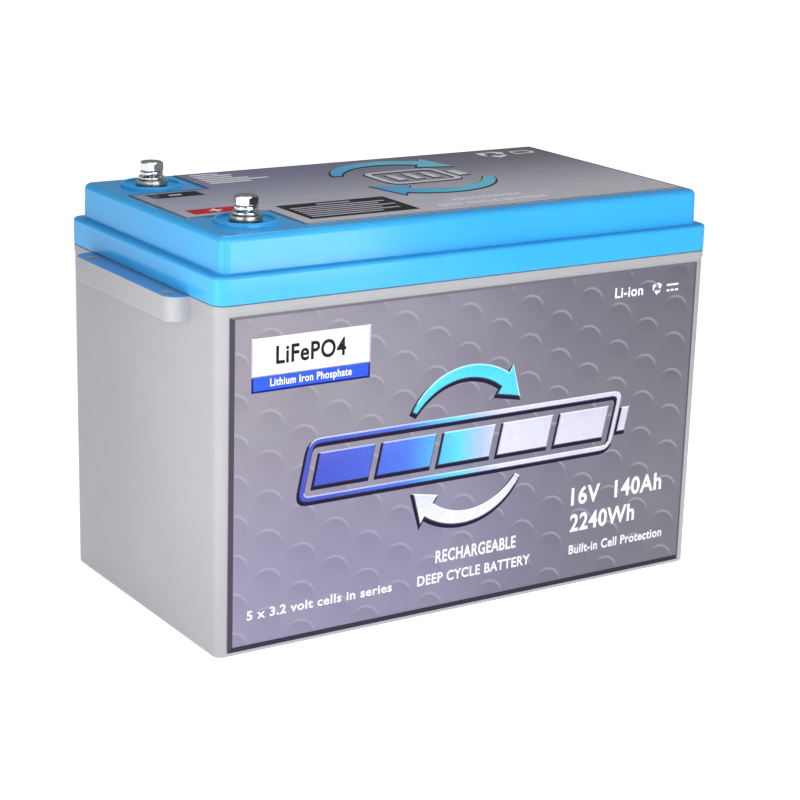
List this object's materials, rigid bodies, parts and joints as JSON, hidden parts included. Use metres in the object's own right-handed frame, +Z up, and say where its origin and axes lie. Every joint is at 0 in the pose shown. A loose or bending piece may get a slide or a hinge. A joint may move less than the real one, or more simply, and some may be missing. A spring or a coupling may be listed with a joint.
{
  "type": "deep cycle battery",
  "caption": "Rectangular lithium battery with a grey tub, a stepped blue lid, a large front label, end ledges and two bolt terminals in the lid's corners.",
  "frame": {"origin": "centre of the base, on the surface it stands on", "axes": "+X along the length, away from the terminals; +Y through the width, away from the main label; +Z up"},
  "size_m": [0.3414, 0.1744, 0.238],
  "materials": {
    "case_grey": "satin",
    "lid_blue": "gloss",
    "label_print": "satin",
    "terminal_nickel": "polished",
    "bolt_steel": "polished",
    "zinc_steel": "satin",
    "seal_rubber": "matte",
    "copper": "satin",
    "cell_film": "satin",
    "spacer_sheet": "matte",
    "plate_aluminium": "satin",
    "black_plastic": "satin",
    "board_green": "satin",
    "connector_plastic": "satin",
    "cable_red": "satin",
    "cable_black": "satin",
    "lug_tin": "satin",
    "foam": "matte"
  },
  "bodies": {
    "battery": {"back_foam": "foam", "back_label": "label_print", "balance_connector": "connector_plastic", "balance_harness": "connector_plastic", "base_foam": "foam", "bms_board": "board_green", "bms_heatsink": "plate_aluminium", "bms_screw_1": "zinc_steel", "bms_screw_2": "zinc_steel", "bms_screw_3": "zinc_steel", "bms_screw_4": "zinc_steel", "bms_tray": "black_plastic", "busbar_1": "copper", "busbar_2": "copper", "busbar_3": "copper", "busbar_4": "copper", "case_tub": "case_grey", "cell_1": "cell_film", "cell_2": "cell_film", "cell_3": "cell_film", "cell_4": "cell_film", "cell_5": "cell_film", "cell_spacer_1": "spacer_sheet", "cell_spacer_2": "spacer_sheet", "cell_spacer_3": "spacer_sheet", "cell_spacer_4": "spacer_sheet", "end_plate_left": "plate_aluminium", "end_plate_right": "plate_aluminium", "front_foam": "foam", "front_label": "label_print", "left_foam": "foam", "lid": "lid_blue", "lid_seal": "seal_rubber", "negative_board_lug": "lug_tin", "negative_collector": "copper", "negative_lead": "cable_black", "negative_terminal": "terminal_nickel", "negative_terminal_lug": "lug_tin", "negative_terminal_nut": "zinc_steel", "negative_terminal_seal": "seal_rubber", "pack_negative_lead": "cable_black", "pack_negative_lug": "lug_tin", "positive_collector": "copper", "positive_lead": "cable_red", "positive_pack_lug": "lug_tin", "positive_terminal": "terminal_nickel", "positive_terminal_lug": "lug_tin", "positive_terminal_nut": "zinc_steel", "positive_terminal_seal": "seal_rubber", "right_foam": "foam", "strap_lower": "zinc_steel", "strap_upper": "zinc_steel", "temperature_probe": "black_plastic", "top_label": "label_print"},
    "positive_washers": {"positive_flat_washer": "bolt_steel", "positive_spring_washer": "bolt_steel"},
    "positive_bolt": {"positive_bolt": "bolt_steel"},
    "negative_washers": {"negative_flat_washer": "bolt_steel", "negative_spring_washer": "bolt_steel"},
    "negative_bolt": {"negative_bolt": "bolt_steel"}
  },
  "joints": [
    {"name": "positive_bolt_lift", "type": "slide", "parent": "battery", "child": "positive_washers", "axis": [0, 0, 1], "range_m": [0, 0.0126]},
    {"name": "positive_bolt_turn", "type": "hinge", "parent": "positive_washers", "child": "positive_bolt", "pos_m": [-0.1245, -0.054, 0.2335], "axis": [0, 0, 1], "range_deg": [0, 3600]},
    {"name": "negative_bolt_lift", "type": "slide", "parent": "battery", "child": "negative_washers", "axis": [0, 0, 1], "range_m": [0, 0.0126]},
    {"name": "negative_bolt_turn", "type": "hinge", "parent": "negative_washers", "child": "negative_bolt", "pos_m": [-0.1245, 0.054, 0.2335], "axis": [0, 0, 1], "range_deg": [0, 3600]}
  ],
  "couplings": [
    {"joint": "positive_bolt_lift", "follows": "positive_bolt_turn", "m_per_rad": 0.00019894},
    {"joint": "negative_bolt_lift", "follows": "negative_bolt_turn", "m_per_rad": 0.00019894}
  ]
}
